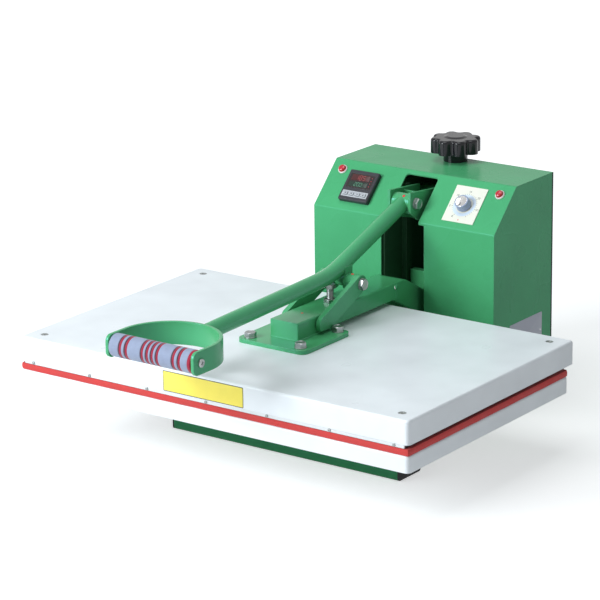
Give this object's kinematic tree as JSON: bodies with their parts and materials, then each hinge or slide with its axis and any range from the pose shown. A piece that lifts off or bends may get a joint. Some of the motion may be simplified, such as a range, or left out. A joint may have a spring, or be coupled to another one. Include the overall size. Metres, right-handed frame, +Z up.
{
  "type": "dry mounting press",
  "caption": "Clamshell heat press for mounting prints: a toggle lever with a foam-covered grip closes a heated upper platen on a padded bed; a sloped control head stands behind.",
  "frame": {"origin": "on the floor plane, under the middle of the whole press", "axes": "+X to the right seen from the handle, +Y from the handle back to the control head, +Z up"},
  "size_m": [0.62, 0.7267, 0.3485],
  "materials": {
    "green_enamel": "satin enamel",
    "white_enamel": "smooth satin enamel",
    "zinc_steel": "bright zinc plated",
    "bright_steel": "polished",
    "dark_steel": "oiled",
    "aluminium": "milled",
    "white_metal": "satin",
    "brass": "turned",
    "red_silicone": "matt sponge",
    "grip_foam": "matt foam",
    "black_rubber": "matt",
    "black_plastic": "polished",
    "dark_plastic": "fine grain",
    "grey_plastic": "satin",
    "white_plastic": "satin",
    "window": "smoked",
    "red_lens": "translucent",
    "plate_paint": "printed plate",
    "mineral_wool": "fibre blanket"
  },
  "bodies": {
    "stand": {"front_foot": "green_enamel", "rear_foot": "green_enamel", "foot_end_caps": "black_rubber", "base_rails": "green_enamel", "bed_posts": "green_enamel", "bed_core_plate": "aluminium", "bed_tray": "white_enamel", "silicone_pad": "red_silicone", "head_base_plate": "green_enamel", "frame_cheek_left": "green_enamel", "frame_cheek_right": "green_enamel", "crosshead_plate": "green_enamel", "frame_tie_plate": "green_enamel", "hinge_shaft": "dark_steel", "head_casing": "green_enamel", "head_back_panel": "green_enamel", "casing_screws": "zinc_steel", "controller_case": "dark_plastic", "controller_window": "window", "timer_body": "dark_plastic", "timer_scale_plate": "plate_paint", "pilot_lamp_bezels": "bright_steel", "pilot_lamp_lenses": "red_lens", "power_switch_frame": "dark_plastic", "cable_gland": "dark_plastic", "relay_heat_sink": "aluminium", "solid_state_relay": "white_plastic", "terminal_block": "white_plastic"},
    "upper_platen": {"lift_arm": "green_enamel", "arm_plate_bolts": "zinc_steel", "stop_bolt": "zinc_steel", "hinge_bushes": "brass", "platen_cover": "white_enamel", "insulation_blanket": "mineral_wool", "heater_platen": "white_metal", "heating_element": "dark_steel", "front_edge_strip": "white_metal", "platen_screws": "zinc_steel", "platen_standoffs": "zinc_steel"},
    "lever": {"lever_tube": "green_enamel", "handle_strap": "green_enamel", "grip_core": "dark_steel", "foam_grip": "grip_foam", "grip_screws": "zinc_steel"},
    "links": {"link_left": "green_enamel", "link_right": "green_enamel", "link_upper_bolts": "zinc_steel", "link_lower_pin": "zinc_steel"},
    "carriage": {"pressure_carriage": "green_enamel", "spindle_nut": "brass", "lever_pivot_bolt": "zinc_steel"},
    "pressure_screw": {"pressure_knob": "black_plastic", "pressure_spindle": "dark_steel", "spindle_collar": "zinc_steel"},
    "timer_dial": {"timer_knob": "grey_plastic"},
    "power_switch": {"power_rocker": "black_plastic"},
    "button_set": {"controller_button_set": "grey_plastic"},
    "button_shift": {"controller_button_shift": "grey_plastic"},
    "button_down": {"controller_button_down": "grey_plastic"},
    "button_up": {"controller_button_up": "grey_plastic"}
  },
  "joints": [
    {"name": "platen_lift", "type": "hinge", "parent": "stand", "child": "upper_platen", "pos_m": [0, 0.2734, 0.1045], "axis": [-1, 0, 0], "range_deg": [0, 35]},
    {"name": "pressure_turn", "type": "hinge", "parent": "stand", "child": "pressure_screw", "pos_m": [0, 0.3286, 0.3327], "axis": [0, 0, -1], "range_deg": [0, 720]},
    {"name": "pressure_slide", "type": "slide", "parent": "stand", "child": "carriage", "axis": [0, 0, 1], "range_m": [0, 0.004]},
    {"name": "lever_swing", "type": "hinge", "parent": "carriage", "child": "lever", "pos_m": [0, 0.2004, 0.2815], "axis": [-1, 0, 0], "range_deg": [0, 79.69]},
    {"name": "link_swing", "type": "hinge", "parent": "upper_platen", "child": "links", "pos_m": [0, -0.0331, 0.1708], "axis": [1, 0, 0], "range_deg": [0, 76.72]},
    {"name": "timer_turn", "type": "hinge", "parent": "stand", "child": "timer_dial", "pos_m": [0.085, 0.22202, 0.28402], "axis": [0, -0.7071, 0.7071], "range_deg": [-300, 0]},
    {"name": "power_rock", "type": "hinge", "parent": "stand", "child": "power_switch", "pos_m": [-0.095, 0.3456, 0.136], "axis": [1, 0, 0], "range_deg": [0, 16]},
    {"name": "press_button_set", "type": "slide", "parent": "stand", "child": "button_set", "axis": [0, 0.7071, -0.7071], "range_m": [0, 0.0006], "stiffness_N_per_m": 400},
    {"name": "press_button_shift", "type": "slide", "parent": "stand", "child": "button_shift", "axis": [0, 0.7071, -0.7071], "range_m": [0, 0.0006], "stiffness_N_per_m": 400},
    {"name": "press_button_down", "type": "slide", "parent": "stand", "child": "button_down", "axis": [0, 0.7071, -0.7071], "range_m": [0, 0.0006], "stiffness_N_per_m": 400},
    {"name": "press_button_up", "type": "slide", "parent": "stand", "child": "button_up", "axis": [0, 0.7071, -0.7071], "range_m": [0, 0.0006], "stiffness_N_per_m": 400}
  ],
  "couplings": [
    {"joint": "lever_swing", "follows": "platen_lift", "ratio": 2.2763},
    {"joint": "link_swing", "follows": "platen_lift", "ratio": 2.1915},
    {"joint": "pressure_turn", "follows": "pressure_slide", "rad_per_m": 3141.6}
  ]
}
